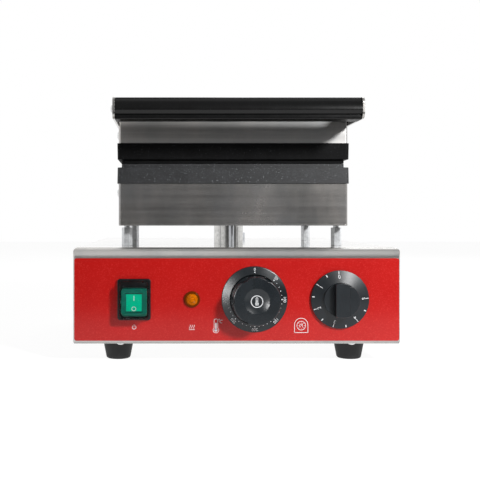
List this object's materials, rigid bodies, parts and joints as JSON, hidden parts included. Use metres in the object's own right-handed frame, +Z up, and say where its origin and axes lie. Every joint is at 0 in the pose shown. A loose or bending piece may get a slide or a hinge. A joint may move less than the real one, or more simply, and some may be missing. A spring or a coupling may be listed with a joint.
{
  "type": "waffle maker",
  "caption": "Square Belgian waffle iron on posts over a stainless cabinet with a red control panel, dials and a hinged lid.",
  "frame": {"origin": "on the floor under the centre of the machine's length and width, handle, dials and gland included", "axes": "+X to the right seen from the front, +Y to the back, +Z up; the front faces -Y"},
  "size_m": [0.31, 0.3892, 0.2545],
  "materials": {
    "stainless": "brushed satin sheet",
    "red_panel": "glossy red with fine metallic flakes",
    "bright_steel": "bright turned steel",
    "zinc_steel": "zinc plated, satin",
    "foot_rubber": "matt black",
    "black_plastic": "fine satin",
    "handle_black": "satin phenolic moulding",
    "green_lens": "translucent green rocker",
    "clear_boot": "clear soft cover",
    "amber_bezel": "amber moulding",
    "amber_lens": "amber prismatic lens",
    "dial_plastic": "satin charcoal with white print",
    "brass_metal": "turned brass",
    "copper_probe": "copper tube",
    "ceramic_white": "white ceramic",
    "chrome_tube": "polished tube",
    "coated_iron": "speckled non-stick coating",
    "element_steel": "heat-darkened sheath",
    "mineral_pad": "pressed mineral fibre",
    "hose_steel": "ribbed steel hose"
  },
  "bodies": {
    "base": {"base_cover": "stainless", "bottom_plate": "stainless", "front_panel": "red_panel", "bottom_screws": "bright_steel", "feet": "foot_rubber", "foot_screws": "bright_steel", "switch_frame": "black_plastic", "switch_boot": "clear_boot", "switch_terminals": "brass_metal", "lamp_body": "amber_bezel", "lamp_lens": "amber_lens", "thermostat_body": "zinc_steel", "thermostat_probe": "copper_probe", "control_screws": "bright_steel", "temperature_scale_ring": "dial_plastic", "timer_body": "zinc_steel", "terminal_block": "ceramic_white", "cable_gland": "black_plastic", "gland_locknut": "black_plastic", "posts": "zinc_steel", "post_nuts": "zinc_steel", "wire_conduit": "chrome_tube", "sensor_tube": "zinc_steel", "lower_housing": "stainless", "lower_floor": "stainless", "lower_plate": "coated_iron", "lower_element": "element_steel", "lower_clamps": "zinc_steel", "lower_clamp_bolts": "zinc_steel", "lower_insulation": "mineral_pad", "lower_side_screws": "bright_steel", "hinge_shaft": "bright_steel", "hinge_spacers": "bright_steel", "hinge_end_nuts": "bright_steel", "stop_pins": "bright_steel", "hinge_bracket_left": "stainless", "hinge_bracket_right": "stainless", "bracket_screws": "bright_steel", "hose": "hose_steel", "hose_fitting_lower": "zinc_steel"},
    "lid": {"upper_housing": "stainless", "upper_plate": "coated_iron", "upper_element": "element_steel", "upper_clamps": "zinc_steel", "upper_clamp_bolts": "zinc_steel", "upper_insulation": "mineral_pad", "upper_side_screws": "bright_steel", "arm_left": "stainless", "arm_right": "stainless", "arm_screws": "bright_steel", "handle_grip": "handle_black", "handle_screws": "bright_steel", "hinge_bushes": "brass_metal", "hose_fitting_upper": "zinc_steel"},
    "temperature_dial": {"temperature_knob": "dial_plastic", "thermostat_shaft": "zinc_steel"},
    "timer_dial": {"timer_knob": "dial_plastic", "timer_shaft": "zinc_steel"},
    "rocker": {"switch_rocker": "green_lens"}
  },
  "joints": [
    {"name": "lid_hinge", "type": "hinge", "parent": "base", "child": "lid", "pos_m": [0, 0.11965, 0.19245], "axis": [-1, 0, 0], "range_deg": [0, 100], "deforming": ["hose"]},
    {"name": "temperature_turn", "type": "hinge", "parent": "base", "child": "temperature_dial", "pos_m": [0.0168, -0.17215, 0.0612], "axis": [0, 1, 0], "range_deg": [0, 270]},
    {"name": "timer_turn", "type": "hinge", "parent": "base", "child": "timer_dial", "pos_m": [0.0972, -0.17215, 0.0612], "axis": [0, 1, 0], "range_deg": [0, 270]},
    {"name": "switch_rock", "type": "hinge", "parent": "base", "child": "rocker", "pos_m": [-0.097, -0.17215, 0.0586], "axis": [1, 0, 0], "range_deg": [0, 20]}
  ]
}
